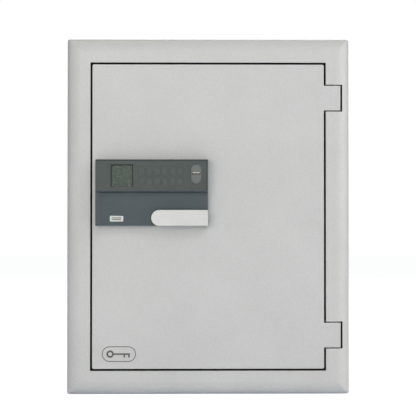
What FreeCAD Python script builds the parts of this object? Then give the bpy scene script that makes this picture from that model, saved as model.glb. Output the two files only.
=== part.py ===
"""Electronic fire-resistant wall safe, in millimetres.

A double-walled steel cabinet with a mineral filler and a rounded, mitred front frame holds a flush
door on two hinge ears.  An electronic lock unit with a lever handle sits on the door.  The lever turns
a crank that slides the bolt bar sideways.  +X is to the viewer's right, +Y runs from the door to the
back, +Z is up, and the origin is the centre of the cabinet's underside.  Most places are given as a
depth behind the front face, so a negative depth stands in front of the door.
"""

import FreeCAD, Part

import math
import os

Vector = FreeCAD.Vector
ALONG_X = Vector(1, 0, 0)
ALONG_Y = Vector(0, 1, 0)
ALONG_Z = Vector(0, 0, 1)

# General
OVER = 1.0             # how far a cutting shape runs past the face that it opens
FIT = 0.03             # clearance between pieces that are fixed to each other
PLAY = 0.2             # clearance round loose-fitting plastic pieces

# Cabinet
WIDTH = 494.0
HEIGHT = 622.0
DEPTH = 430.0
FRONT = -DEPTH / 2.0
WALL = 63.0            # from the outer face to the inner face of the liner
BACK_WALL = 63.0
SKIN = 2.5             # casing and back sheet
LINER = 1.5            # inner sheet
EDGE_RADIUS = 25.0     # rounding of the front frame
CORNER_RADIUS = 4.0    # rounding of the back panel's corners and of the frame's mitred corners
FRAME_SIDE = 41.8      # front frame, from the outer side to the door opening
FRAME_END = 42.6       # the same at the top and the bottom
LANDING_DEPTH = 29.0   # where the door rests, behind the front face
REBATE_END = 75.0      # the rebate frame's rear edge
MITRE = 80.0           # reach of the mitre cuts from each corner
MITRE_SHIFT = 0.05     # the cuts pass this far beside the corners' ridges, so that none runs along one

OPENING_X = WIDTH / 2.0 - FRAME_SIDE
OPENING_Z0 = FRAME_END
OPENING_Z1 = HEIGHT - FRAME_END
LINER_X = WIDTH / 2.0 - WALL
LINER_Z0 = WALL
LINER_Z1 = HEIGHT - WALL
LINER_BACK = DEPTH - BACK_WALL
CASING_BACK = DEPTH - SKIN

# Anchor holes through the back wall and the floor
ANCHOR_R = 7.0
ANCHOR_SLEEVE_R = 9.0
ANCHOR_X = 110.0
ANCHOR_Z = 422.0
ANCHOR_D = DEPTH / 2.0

# Gasket, shelf and shelf clips
GASKET_INSET = 4.0     # from the edge of the door opening
GASKET_WIDTH = 11.0
GASKET = 2.6
SHELF_Z = 302.0        # underside of the shelf's sheet
SHELF_GAP = 1.5
SHELF_D0 = 92.0
SHELF_D1 = 350.0
SHELF_SHEET = 1.5
SHELF_FOLD = 15.0
CLIP_D = (115.0, 315.0)
CLIP_WIDTH = 20.0
CLIP_REACH = 12.0
CLIP_HEIGHT = 24.0
CLIP_LEDGE = 4.0
CLIP_SHEET = 1.4

# Door
DOOR_GAP = 3.5
LEAF_X = OPENING_X - DOOR_GAP
LEAF_Z0 = OPENING_Z0 + DOOR_GAP
LEAF_Z1 = OPENING_Z1 - DOOR_GAP
LEAF_SHEET = 3.0
LEAF_RETURN = 2.0      # sheet of the pan's folded edges
LEAF_BACK = 24.5
LEAF_CORNER = 3.0
LEAF_INNER_CORNER = 1.5
LEAF_EDGE = 1.2
REAR_PLATE = 1.5
PLUG_GAP = 6.0         # between the boltwork's casing and the liner
PLUG_X = LINER_X - PLUG_GAP
PLUG_Z0 = LINER_Z0 + PLUG_GAP
PLUG_Z1 = LINER_Z1 - PLUG_GAP
PLUG_CORNER = 4.0
PLUG_SHEET = 1.5
PLUG_START = LEAF_BACK + REAR_PLATE
PLUG_END = 62.0
PLUG_FLANGE = 14.0
COVER = 2.0
COVER_EDGE = 0.8
COVER_SCREW_INSET = 8.0
COVER_SCREW_R = 2.0
COVER_SCREW_HEAD_R = 4.5
COVER_SCREW_HEAD = 2.2
COVER_SCREW_LENGTH = 9.0
COVER_SCREW_CROSS = 2.4
STRIP = 2.0            # fire strip round the boltwork's casing
STRIP_D0 = 28.5
STRIP_D1 = 34.0
CABLE_X = -150.0
CABLE_Z = 332.0
CABLE_R = 8.0

# Hinges
EAR_HEIGHT = 43.0
EAR_LENGTH = 29.0
EAR_OFFSET = 83.0      # from the cabinet's top or underside to the nearer end of an ear
EAR_ROOT = 12.0        # overlap of an ear with the door's pan
EAR_GAP = 2.0
EAR_EDGE = 2.4
PIVOT_X = LEAF_X + 18.0
PIVOT_D = 8.0
PIN_R = 4.0
PIN_SHORT = 3.0        # the pin ends this far inside the bush
BUSH_R = 5.2
BUSH_PLAY = 0.05
POCKET_X = LEAF_X + EAR_LENGTH + DOOR_GAP
POCKET_D = 22.0
POCKET_SHEET = 2.0
BLOCK_HEIGHT = 18.0
BLOCK_HALF_WIDTH = 9.0
BLOCK_D = 18.0
KNUCKLE_R = 9.0
KNUCKLE_SHORT = 0.5    # the knuckle ends this far inside the ear's ends

# Bolts, the bar that carries them, its guide studs and the bolts' bushes
BOLT_D = 44.5
BOLT_R = 9.0
BOLT_TIP_X = -(PLUG_X - 1.0)
BOLT_Z = (127.0, 311.0, 495.0)
BOLT_CHAMFER = 2.0
STROKE = 20.0
BAR_X0 = -150.0
BAR_X1 = -126.0
BAR_THICK = 5.0
BAR_D0 = BOLT_D - BAR_THICK / 2.0
BAR_D1 = BOLT_D + BAR_THICK / 2.0
BAR_END = 20.0         # how far the bar runs past the outer bolts
BAR_CORNER = 3.0
BOLT_INNER_X = BAR_X0 + 12.0
CROSS_PIN_R = 2.0
CROSS_PIN_X = BAR_X0 + 6.0
CROSS_PIN_SHORT = 0.6
STUD_Z = (168.0, 442.0)
STUD_X = -140.0
STUD_R = 4.0
STUD_ROOM = 0.3        # between a stud and the side of its slot
STUD_SPACER_R = 6.0
STUD_HEAD_R = 7.0
STUD_HEAD = 2.0
STUD_GAP = 0.4         # between the bar and a stud's spacer or head
STUD_ARM = 12.0        # half the height of the bar's arm round a stud
GUIDE_R = 13.0
GUIDE_LENGTH = 7.0
GUIDE_FLANGE_R = 16.0
GUIDE_FLANGE_END = 4.0
GUIDE_PLAY = 0.1

# Fixed dogs on the hinge side
DOG_Z = (192.0, 430.0)
DOG_R = 7.0
DOG_D = 52.0
DOG_X0 = 160.0
DOG_TIP_X = 189.0
DOG_CHAMFER = 1.5
DOG_COLLAR_X0 = 168.0
DOG_COLLAR_R = 8.4

# Hollows in the rebate frame that take the bolts and the dogs
STRIKE_R = BOLT_R + 2.0
STRIKE_REACH = 18.0
DOG_STRIKE_D0 = 38.0
DOG_STRIKE_D1 = 62.0
DOG_STRIKE_HALF = 10.0
DOG_STRIKE_REACH = 12.0
CUP_WALL = 1.5

# Lever, spindle and crank
HANDLE_X = -84.5
HANDLE_Z = 308.6
LEVER_R = 13.9
LEVER_END_X = -0.5
LEVER_FRONT = -28.5
LEVER_BACK = -17.5
LEVER_EDGE = 1.6
LEVER_END_CORNER = 1.5
HUB_R = 12.0
HUB_BACK = -12.5
SPINDLE_R = 5.0
SPINDLE_FRONT = -22.9
SPINDLE_END_GAP = 0.1
SPINDLE_PLAY = 0.05
SPINDLE_TUBE_R = 8.0
SPINDLE_TUBE_BORE = 6.5
SPINDLE_ROOM = 9.0     # radius of the spindle's hole in the leaf and in the mounting plate
SPINDLE_BUSH_R = 7.0
SPINDLE_BUSH_END = 32.0
SPINDLE_FLANGE_R = 11.0
SPINDLE_FLANGE = 2.0
CRANK_R = STROKE / (2.0 * math.sin(math.radians(45.0)))
CRANK_X = HANDLE_X + STROKE / 2.0
CRANK_Z = HANDLE_Z - STROKE / 2.0
CRANK_D0 = 34.0
CRANK_D1 = 40.5
CRANK_HUB_R = 10.0
CRANK_EYE_R = 7.0
CRANK_WEB = 13.0
CRANK_PIN_R = 4.0
CRANK_PIN_PROUD = 1.5
CRANK_SLOP = 0.55      # between the crank's pin and its slot, so the bar can keep to a constant ratio
YOKE_Z0 = 264.0        # the bar's arm that holds the crank's slot
YOKE_Z1 = 307.5
YOKE_PAST = 14.0       # how far that arm runs past the crank's pin

# Motor lock
LOCK_PIN_X = -104.0
LOCK_PIN_R = 4.5
LOCK_PIN_PLAY = 0.08
LOCK_PIN_PROUD = 8.0
LOCK_PIN_BURIED = 40.0
LOCK_BORE = 50.0
LOCK_CASE_X0 = LOCK_PIN_X - 20.0
LOCK_CASE_X1 = LOCK_PIN_X + 48.0
LOCK_CASE_D1 = 56.0
LOCK_CASE_TOP = 252.0
LOCK_CASE_HEIGHT = 62.0
LOCK_CASE_CORNER = 3.0
LOCK_ROOM_X0 = LOCK_PIN_X + 10.0
LOCK_FACE = 2.0        # the case's wall round the motor's room: front and back, side, top and bottom
LOCK_SIDE = 3.0
LOCK_END = 4.0
NOTCH_GAP = 0.8
NOTCH_DEPTH = 8.0

# Lock unit on the door; it stands out from the door, so its depths are negative
UNIT_X0 = -194.5
UNIT_X1 = -0.5
UNIT_Z0 = 294.8
UNIT_Z1 = 409.4
UNIT_CORNER = 1.5
UNIT_EDGE = 0.7
UNIT_WALL = 2.5
UNIT_SCREW_R = 2.6
UNIT_SCREW_INSET = 16.0
UNIT_SCREW_ROOM_R = 4.0
UNIT_SCREW_ROOM_END = 14.0
CONSOLE_D = -26.0      # front of the raised upper part
CONSOLE_WALL = 5.5
FLOOR_D = -17.0        # front of the sunken lower part
RECESS_LEFT = 12.0     # width of the sloping left wall of the sunken part
RECESS_TOP_OUTER = 354.4
RECESS_TOP_INNER = 351.4
RECESS_PAST = 5.0
WELL_D = -12.0         # floor of the well that the lever turns in
WELL_GAP = 1.6
RIM = 1.3              # the housing's rim round the fascia
GROOVE = 0.9           # wider gap along the fascia's top and right edges
FASCIA = 2.0
FASCIA_BACK = CONSOLE_D + FASCIA
FASCIA_Z0 = 356.2
CONSOLE_ROOM_Z0 = FASCIA_Z0 + 2.4
LOWER_ROOM_Z1 = FASCIA_Z0 - 2.0
MOUNT_PLATE = 2.0
MOUNT_CORNER = 2.0
MOUNT_GAP = 0.5        # between a mounting plate and the housing's inner walls
BADGE = (-169.9, -146.5, 302.2, 312.2)
BADGE_CORNER = 1.2
BADGE_THICK = 0.8
BADGE_EDGE = 0.3
BOARD = 1.6
BOARD_FRONT = -19.2
BOARD_INSET = 6.0
BOARD_Z0 = FASCIA_Z0 + 2.7
CHIP = 14.0
CHIP_THICK = 2.0
CHIP_X = (-110.0, -70.0)
CHIP_Z = 372.0

# Display and finger sensor
DISPLAY_X0 = -168.3
DISPLAY_Z0 = 361.8
DISPLAY_SIDE = 39.1
DISPLAY_LAP = 1.45
DISPLAY_PANE = 1.0
SENSOR_X = -20.5
SENSOR_Z = 384.2
CAPSULE_W = 17.8
CAPSULE_H = 32.6
CAPSULE_PROUD = 0.8
CAPSULE_EDGE = 0.5
COLLAR = 1.0
COLLAR_REACH = 1.5
SLOT_Z = 385.3
SLOT_HALF_X = 7.4
SLOT_HALF_Z = 2.0
SENSOR_GAP = 0.1
SENSOR_PROUD = 0.3

# Keys
KEY_WIDTH = 11.2
KEY_HEIGHT = 13.4
KEY_PITCH_X = 13.3
KEY_PITCH_Z = 16.8
KEY_X0 = -114.4
KEY_Z_UPPER = 388.4
KEY_CORNER = 1.2
KEY_PROUD = 0.2
KEY_LIP = 0.3
KEY_LIP_GAP = 0.1
KEY_BACK = FASCIA_BACK + 1.0
KEY_STEM_R = 2.5
KEY_STEM_START = FASCIA_BACK + 0.5
KEY_STEM_END = BOARD_FRONT - 1.0
KEY_ROWS = (
    ("on", "1", "2", "3", "4", "5"),
    ("enter", "6", "7", "8", "9", "0"),
)

# Battery box inside the door
BOX_X0 = 36.0
BOX_X1 = 104.0
BOX_Z0 = 274.0
BOX_Z1 = 336.0
BOX_D0 = PLUG_END + COVER
BOX_D1 = BOX_D0 + 19.5
BOX_WALL = 3.0
BOX_FLOOR = 1.5
BOX_CORNER = 3.0
BOX_EDGE = 1.0
LID_D0 = BOX_D1 - 3.4
LID_D1 = BOX_D1 - 1.4
LID_GROOVE = 1.4       # how far the lid's grooves cut into the side walls
LID_GROOVE_TOP = BOX_Z1 - BOX_WALL + 0.6
RIB_X0 = 58.0
RIB_X1 = 82.0
RIB_Z = (282.0, 285.0, 288.0, 291.0)
RIB = 1.2
RIB_PROUD = 0.7
CELL_R = 7.1
CELL_LENGTH = 50.5
CELL_PITCH = 15.2
CELL_X0 = 47.2
CELL_COUNT = 4
CELL_GAP = 1.5
NUB_R = 2.6
NUB = 1.2

# Printed mark low on the door
EMBLEM_X = -155.0
EMBLEM_Z = 72.0
EMBLEM_WIDTH = 59.0
EMBLEM_HEIGHT = 26.6
EMBLEM_R = EMBLEM_HEIGHT / 2.0
EMBLEM_REACH = EMBLEM_WIDTH / 2.0 - EMBLEM_R
EMBLEM_LINE = 1.2
EMBLEM_THICK = 0.3
BOW_X = EMBLEM_X - EMBLEM_REACH + 1.0
BOW_R = 6.4
BOW_HOLE_R = 3.4
SHANK = 2.6
SHANK_X0 = BOW_X + 4.0
SHANK_X1 = EMBLEM_X + EMBLEM_REACH + 3.0
TOOTH = 6.0
TOOTH_X = (EMBLEM_X + 8.0, EMBLEM_X + EMBLEM_REACH)

nodes = {}


def node(name, *shapes):
    """Keeps the solids of one named piece, or of a group of like pieces."""
    solids = [solid for shape in shapes for solid in shape.Solids]
    if not solids:
        raise ValueError(name + " has no solid")
    nodes[name] = solids[0] if len(solids) == 1 else Part.makeCompound(solids)


def box(x0, x1, d0, d1, z0, z1):
    """A block between two depths behind the front face."""
    return Part.makeBox(x1 - x0, d1 - d0, z1 - z0, Vector(x0, FRONT + d0, z0))


def rod_x(x0, x1, d, z, r):
    return Part.makeCylinder(r, x1 - x0, Vector(x0, FRONT + d, z), ALONG_X)


def rod_y(x, d0, d1, z, r):
    return Part.makeCylinder(r, d1 - d0, Vector(x, FRONT + d0, z), ALONG_Y)


def rod_z(x, d, z0, z1, r):
    return Part.makeCylinder(r, z1 - z0, Vector(x, FRONT + d, z0), ALONG_Z)


def prism(corners, travel):
    """A flat polygon drawn along a vector."""
    face = Part.Face(Part.makePolygon(corners + corners[:1]))
    return face.extrude(travel)


def prism_x(points, x0, x1):
    """A polygon of (depth, z) points, drawn from x0 to x1."""
    return prism([Vector(x0, FRONT + d, z) for d, z in points], Vector(x1 - x0, 0, 0))


def prism_y(points, d0, d1):
    """A polygon of (x, z) points, drawn from depth d0 to d1."""
    return prism([Vector(x, FRONT + d0, z) for x, z in points], Vector(0, d1 - d0, 0))


def prism_z(points, z0, z1):
    """A polygon of (x, depth) points, drawn from z0 to z1."""
    return prism([Vector(x, FRONT + d, z0) for x, d in points], Vector(0, 0, z1 - z0))


def fuse(first, *others):
    return first.multiFuse(list(others)).removeSplitter()


def round_along(shape, axis, radius, keep=None):
    """Rounds the straight edges that run along axis, or those whose middle passes keep(x, depth, z)."""
    edges = []
    for edge in shape.Edges:
        if not isinstance(edge.Curve, Part.Line):
            continue
        along = abs(edge.tangentAt(edge.FirstParameter).dot(axis)) > 0.999
        middle = edge.CenterOfMass
        if along and (keep is None or keep(middle.x, middle.y - FRONT, middle.z)):
            edges.append(edge)
    return shape.makeFillet(radius, edges)


def round_rim(shape, depth, radius):
    """Rounds every edge that lies at one depth."""
    edges = []
    for edge in shape.Edges:
        span = edge.BoundBox
        if max(abs(span.YMin - FRONT - depth), abs(span.YMax - FRONT - depth)) < 0.01:
            edges.append(edge)
    return shape.makeFillet(radius, edges)


def plate(x0, x1, z0, z1, corner, d0, d1):
    """A flat plate facing the viewer, with rounded corners."""
    return round_along(box(x0, x1, d0, d1, z0, z1), ALONG_Y, corner)


def capsule(x, z, width, height, d0, d1):
    """An upright plate with half-round ends."""
    r = width / 2.0
    reach = height / 2.0 - r
    ends = [rod_y(x, d0, d1, z + side * reach, r) for side in (-1, 1)]
    return fuse(box(x - r, x + r, d0, d1, z - reach, z + reach), *ends)


def slot_x(x0, x1, z, r):
    """A cutting shape for a level slot, with half-round ends centred on x0 and x1."""
    ends = [rod_y(x, 0, DEPTH, z, r) for x in (x0, x1)]
    return box(x0, x1, 0, DEPTH, z - r, z + r).multiFuse(ends)


def slot_z(x, z0, z1, r):
    """A cutting shape for an upright slot, with half-round ends centred on z0 and z1."""
    ends = [rod_y(x, 0, DEPTH, z, r) for z in (z0, z1)]
    return box(x - r, x + r, 0, DEPTH, z0, z1).multiFuse(ends)


# ---------------------------------------------------------------- cabinet


def cabinet_block(inset, back):
    """The cabinet's outer form, shrunk by inset: rounded front edges that meet in softened mitres."""
    x = WIDTH / 2.0 - inset
    block = box(-x, x, inset, back, inset, HEIGHT - inset)

    def at_front(px, pd, pz):
        return abs(pd - inset) < 0.01

    sides_rounded = round_along(block, ALONG_Z, EDGE_RADIUS - inset, at_front)
    ends_rounded = round_along(block, ALONG_X, EDGE_RADIUS - inset, at_front)
    mitred = sides_rounded.common(ends_rounded)
    mitres = [edge for edge in mitred.Edges if isinstance(edge.Curve, Part.Ellipse)]
    return mitred.makeFillet(CORNER_RADIUS - inset, mitres)


def opening_box(grow, d0, d1):
    """A block as wide and high as the door opening, grown on its four sides."""
    return box(-OPENING_X - grow, OPENING_X + grow, d0, d1, OPENING_Z0 - grow, OPENING_Z1 + grow)


def liner_box(grow, d0, d1):
    """A block as wide and high as the inside of the liner, grown on its four sides."""
    return box(-LINER_X - grow, LINER_X + grow, d0, d1, LINER_Z0 - grow, LINER_Z1 + grow)


def ear_spans():
    """The lower and the upper ear, each as its lowest and highest z."""
    lower = (EAR_OFFSET, EAR_OFFSET + EAR_HEIGHT)
    upper = (HEIGHT - EAR_OFFSET - EAR_HEIGHT, HEIGHT - EAR_OFFSET)
    return lower, upper


def ear_windows():
    """Cutting shapes for the windows that the ears lie in."""
    return [box(LEAF_X, POCKET_X, -OVER, POCKET_D, z0 - EAR_GAP, z1 + EAR_GAP) for z0, z1 in ear_spans()]


def anchor_holes():
    sides = (-ANCHOR_X, ANCHOR_X)
    back = [rod_y(x, LINER_BACK - OVER, DEPTH + OVER, ANCHOR_Z, ANCHOR_R) for x in sides]
    floor = [rod_z(x, ANCHOR_D, -OVER, WALL + OVER, ANCHOR_R) for x in sides]
    return back + floor


def strike_hollows(grow, bolt_reach, dog_reach):
    """The hollows that the bolts and the dogs enter, grown all round.

    The dogs' hollows reach forwards of the dogs, because a dog swings out on an arc.
    """
    half = DOG_STRIKE_HALF + grow
    bolt_span = (-LINER_X - bolt_reach, -LINER_X + OVER)
    hollows = [rod_x(*bolt_span, BOLT_D, z, STRIKE_R + grow) for z in BOLT_Z]
    dog_span = (LINER_X - OVER, LINER_X + dog_reach, DOG_STRIKE_D0 - grow, DOG_STRIKE_D1 + grow)
    hollows += [box(*dog_span, z - half, z + half) for z in DOG_Z]
    return hollows


def strike_shells():
    """The outer form of the cups behind those hollows."""
    return strike_hollows(CUP_WALL, LINER + STRIKE_REACH + CUP_WALL, LINER + DOG_STRIKE_REACH + CUP_WALL)


def make_casing():
    """The outer sheet, in mitred panels, with the rounded front frame formed on."""
    shell = cabinet_block(0.0, CASING_BACK).cut(cabinet_block(SKIN, CASING_BACK + OVER))
    shell = shell.cut([opening_box(0.0, -OVER, LANDING_DEPTH)] + ear_windows()).cut(anchor_holes())
    x = WIDTH / 2.0
    past = 10.0
    bottom = [
        (-x - past + MITRE_SHIFT, -past),
        (x + past - MITRE_SHIFT, -past),
        (x - MITRE - MITRE_SHIFT, MITRE),
        (MITRE - x + MITRE_SHIFT, MITRE),
    ]
    top = [(px, HEIGHT - pz) for px, pz in bottom]
    reaches = [prism_y(outline, -OVER, DEPTH) for outline in (bottom, top)]
    node("casing_bottom", shell.common(reaches[0]))
    node("casing_top", shell.common(reaches[1]))
    node("casing_sides", shell.cut(reaches))
    node("back_panel", plate(-x, x, 0, HEIGHT, CORNER_RADIUS, CASING_BACK, DEPTH).cut(anchor_holes()))


def make_rebate_and_liner():
    """The stepped frame that the door closes into, the box behind it, and the cups behind its holes."""
    step = opening_box(LINER, SKIN, LANDING_DEPTH + LINER)
    neck = liner_box(LINER, LANDING_DEPTH, REBATE_END)
    inside = [opening_box(0.0, 0, LANDING_DEPTH), liner_box(0.0, LANDING_DEPTH - OVER, REBATE_END + OVER)]
    frame = fuse(step, neck).cut(inside).cut(ear_windows())
    node("rebate_frame", frame.cut(strike_hollows(0.0, LINER, LINER)))

    shell = liner_box(LINER, REBATE_END, LINER_BACK + LINER)
    shell = shell.cut(liner_box(0.0, REBATE_END - OVER, LINER_BACK))
    node("inner_liner", shell.cut(anchor_holes()))

    frame_side = liner_box(LINER, 0, DEPTH)
    hollows = strike_hollows(0.0, LINER + STRIKE_REACH, LINER + DOG_STRIKE_REACH)
    node("strike_cups", *[cup.cut([hollow, frame_side]) for cup, hollow in zip(strike_shells(), hollows)])


def hinge_housing(z0, z1):
    """A pressed pocket that the ear turns in, with a bearing block above and below it."""
    low = z0 - EAR_GAP
    high = z1 + EAR_GAP
    sheet = POCKET_SHEET
    pocket_x0 = OPENING_X + LINER
    cup = box(pocket_x0, POCKET_X + sheet, SKIN, POCKET_D + sheet, low - sheet, high + sheet)
    cup = cup.cut(box(pocket_x0 - OVER, POCKET_X, 0, POCKET_D, low, high))
    block = (PIVOT_X - BLOCK_HALF_WIDTH, PIVOT_X + BLOCK_HALF_WIDTH, SKIN, BLOCK_D)
    lower = box(*block, low - sheet - BLOCK_HEIGHT, low - sheet)
    upper = box(*block, high + sheet, high + sheet + BLOCK_HEIGHT)
    bore = rod_z(PIVOT_X, PIVOT_D, 0, HEIGHT, BUSH_R + FIT)
    form = cabinet_block(SKIN, CASING_BACK)
    return [part.common(form).cut(bore) for part in (cup, lower, upper)]


def hinge_bushes(z0, z1):
    """A bush in each bearing block, flush with the pocket's inner face."""
    length = POCKET_SHEET + BLOCK_HEIGHT
    bore = rod_z(PIVOT_X, PIVOT_D, 0, HEIGHT, PIN_R + BUSH_PLAY)
    lows = (z0 - EAR_GAP - length, z1 + EAR_GAP)
    return [rod_z(PIVOT_X, PIVOT_D, low, low + length, BUSH_R).cut(bore) for low in lows]


def hinge_knuckle(z0, z1):
    """The block behind an ear that holds the pin."""
    low = z0 + KNUCKLE_SHORT
    high = z1 - KNUCKLE_SHORT
    barrel = rod_z(PIVOT_X, PIVOT_D, low, high, KNUCKLE_R)
    arm = box(LEAF_X, PIVOT_X, LEAF_SHEET, PIVOT_D + KNUCKLE_R - OVER, low, high)
    behind_ear = box(LEAF_X, WIDTH, LEAF_SHEET, POCKET_D, z0, z1)
    bore = rod_z(PIVOT_X, PIVOT_D, z0, z1, PIN_R + FIT)
    return fuse(barrel, arm).common(behind_ear).cut(bore)


def make_hinges():
    reach = EAR_GAP + POCKET_SHEET + BLOCK_HEIGHT - PIN_SHORT
    node("hinge_housings", *[piece for z0, z1 in ear_spans() for piece in hinge_housing(z0, z1)])
    node("hinge_bushes", *[bush for z0, z1 in ear_spans() for bush in hinge_bushes(z0, z1)])
    node("hinge_knuckles", *[hinge_knuckle(z0, z1) for z0, z1 in ear_spans()])
    node("hinge_pins", *[rod_z(PIVOT_X, PIVOT_D, z0 - reach, z1 + reach, PIN_R) for z0, z1 in ear_spans()])


def make_filler():
    """The mineral filling between the casing and the inner sheets: four walls and a back."""
    walls_end = LINER_BACK + LINER
    taken = [opening_box(LINER, 0, LANDING_DEPTH + LINER), liner_box(LINER, 0, walls_end)]
    taken += strike_shells()
    block = (PIVOT_X - BLOCK_HALF_WIDTH, PIVOT_X + BLOCK_HALF_WIDTH, 0, BLOCK_D)
    for z0, z1 in ear_spans():
        low = z0 - EAR_GAP - POCKET_SHEET
        high = z1 + EAR_GAP + POCKET_SHEET
        taken.append(box(OPENING_X, POCKET_X + POCKET_SHEET, 0, POCKET_D + POCKET_SHEET, low, high))
        taken.append(box(*block, low - BLOCK_HEIGHT, high + BLOCK_HEIGHT))
    low = LINER_Z0 - LINER
    high = LINER_Z1 + LINER
    sleeves = []
    for x in (-ANCHOR_X, ANCHOR_X):
        sleeves.append(rod_y(x, walls_end, CASING_BACK, ANCHOR_Z, ANCHOR_SLEEVE_R))
        sleeves.append(rod_z(x, ANCHOR_D, SKIN, low, ANCHOR_SLEEVE_R))
    node("anchor_sleeves", *[sleeve.cut(anchor_holes()) for sleeve in sleeves])

    fill = cabinet_block(SKIN, CASING_BACK).cut(taken).cut(sleeves)
    walls = [
        box(-WIDTH, WIDTH, 0, walls_end, high, HEIGHT),
        box(-WIDTH, WIDTH, 0, walls_end, 0, low),
        box(-WIDTH, 0, 0, walls_end, low, high),
        box(0, WIDTH, 0, walls_end, low, high),
    ]
    node("wall_insulation", *[fill.common(wall) for wall in walls])
    node("back_insulation", fill.common(box(-WIDTH, WIDTH, walls_end, DEPTH, 0, HEIGHT)))


def make_interior():
    """The gasket on the door landing, and the shelf on its four clips."""
    gasket = opening_box(-GASKET_INSET, LANDING_DEPTH - GASKET, LANDING_DEPTH)
    node("frame_gasket", gasket.cut(opening_box(-GASKET_INSET - GASKET_WIDTH, 0, DEPTH)))

    def at_top(px, pd, pz):
        return pz > SHELF_Z - 0.01

    x = LINER_X - SHELF_GAP
    under = SHELF_Z - SHELF_FOLD
    tray = box(-x, x, SHELF_D0, SHELF_D1, under, SHELF_Z + SHELF_SHEET)
    tray = round_along(tray, ALONG_X, 2.0 * SHELF_SHEET, at_top)
    hollow = box(-WIDTH, WIDTH, SHELF_D0 + SHELF_SHEET, SHELF_D1 - SHELF_SHEET, under - OVER, SHELF_Z)
    node("shelf", tray.cut(round_along(hollow, ALONG_X, SHELF_SHEET, at_top)))

    clips = []
    for side in (-1, 1):
        wall = side * LINER_X
        ledge = sorted((wall, wall - side * CLIP_REACH))
        backing = sorted((wall, wall - side * CLIP_SHEET))
        for d in CLIP_D:
            flat = box(*ledge, d, d + CLIP_WIDTH, SHELF_Z - CLIP_LEDGE, SHELF_Z)
            upright = box(*backing, d, d + CLIP_WIDTH, SHELF_Z - CLIP_HEIGHT, SHELF_Z)
            clips.append(fuse(flat, upright))
    node("shelf_clips", *clips)


# ---------------------------------------------------------------- door


def plug_plate(grow, d0, d1):
    """A plate with the outline of the boltwork's casing, grown on its four sides."""
    sides = (-PLUG_X - grow, PLUG_X + grow, PLUG_Z0 - grow, PLUG_Z1 + grow)
    return plate(*sides, PLUG_CORNER + grow, d0, d1)


def plug_room(wall, d1):
    """A cutting shape that leaves a wall of that thickness inside the boltwork's casing."""
    return box(-PLUG_X + wall, PLUG_X - wall, 0, d1, PLUG_Z0 + wall, PLUG_Z1 - wall)


def unit_screw_holes(d0, d1, r):
    """Four holes for the screws that hold the lock unit."""
    places_x = (UNIT_X0 + UNIT_SCREW_INSET, UNIT_X1 - UNIT_SCREW_INSET)
    places_z = (UNIT_Z0 + UNIT_SCREW_INSET, UNIT_Z1 - UNIT_SCREW_INSET)
    return [rod_y(x, d0, d1, z, r) for x in places_x for z in places_z]


def door_passages(d0, d1, spindle_hole_r):
    """The spindle's hole and the cable's hole through one of the door's layers."""
    return [rod_y(HANDLE_X, d0, d1, HANDLE_Z, spindle_hole_r), rod_y(CABLE_X, d0, d1, CABLE_Z, CABLE_R)]


def hinge_ear(z0, z1):
    """A flat ear that runs out from the door's front sheet, with rounded far edges."""

    def far_edge(px, pd, pz):
        return px > LEAF_X and pd < 0.01

    ear = box(LEAF_X - EAR_ROOT, LEAF_X + EAR_LENGTH, 0, LEAF_SHEET, z0, z1)
    return round_along(ear, ALONG_Z, EAR_EDGE, far_edge)


def guide_stud(z):
    """A headed stud on a spacer, for one of the bar's slots."""
    head_start = BAR_D1 + STUD_GAP
    spacer = rod_y(STUD_X, PLUG_START, BAR_D0 - STUD_GAP, z, STUD_SPACER_R)
    shank = rod_y(STUD_X, PLUG_START, head_start, z, STUD_R)
    head = rod_y(STUD_X, head_start, head_start + STUD_HEAD, z, STUD_HEAD_R)
    return fuse(spacer, shank, head)


def make_door_leaf():
    """The door's front pan with both hinge ears, its insulation slab, and its rear plate with the studs."""
    outer = (-LEAF_X, LEAF_X, LEAF_Z0, LEAF_Z1, LEAF_CORNER)
    wall = LEAF_RETURN
    inner = (-LEAF_X + wall, LEAF_X - wall, LEAF_Z0 + wall, LEAF_Z1 - wall, LEAF_INNER_CORNER)
    pan = round_rim(plate(*outer, 0, LEAF_BACK), 0, LEAF_EDGE)
    pan = fuse(pan, *[hinge_ear(z0, z1) for z0, z1 in ear_spans()])
    pan = pan.cut(plate(*inner, LEAF_SHEET, LEAF_BACK + OVER))
    through = (-OVER, LEAF_SHEET + OVER)
    passages = door_passages(*through, SPINDLE_ROOM)
    node("door_leaf", pan.cut(passages + unit_screw_holes(*through, UNIT_SCREW_R)))

    slab = plate(*inner, LEAF_SHEET, LEAF_BACK)
    passages = door_passages(0, LEAF_BACK + OVER, SPINDLE_TUBE_R + FIT)
    screw_rooms = unit_screw_holes(0, UNIT_SCREW_ROOM_END, UNIT_SCREW_ROOM_R)
    node("door_insulation", slab.cut(passages + screw_rooms))

    rear = plate(*outer, LEAF_BACK, PLUG_START)
    rear = rear.cut(door_passages(0, PLUG_START + OVER, SPINDLE_BUSH_R + FIT))
    node("door_rear_plate", rear, *[guide_stud(z) for z in STUD_Z])


def cover_screw_places():
    inset = COVER_SCREW_INSET
    third = (PLUG_Z1 - PLUG_Z0) / 3.0
    for x in (-PLUG_X + inset, PLUG_X - inset):
        for z in (PLUG_Z0 + inset, PLUG_Z0 + third, PLUG_Z1 - third, PLUG_Z1 - inset):
            yield x, z


def cover_screw(x, z):
    """A round-headed screw with a cross recess."""
    face = PLUG_END + COVER
    top = face + COVER_SCREW_HEAD
    recess = face + 1.0
    head = round_rim(rod_y(x, face, top, z, COVER_SCREW_HEAD_R), top, 1.2)
    shank = rod_y(x, PLUG_END - COVER_SCREW_LENGTH, face, z, COVER_SCREW_R)
    arm = COVER_SCREW_CROSS
    half = 0.5
    level = box(x - arm, x + arm, recess, DEPTH, z - half, z + half)
    upright = box(x - half, x + half, recess, DEPTH, z - arm, z + arm)
    return fuse(head, shank).cut([level, upright])


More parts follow.
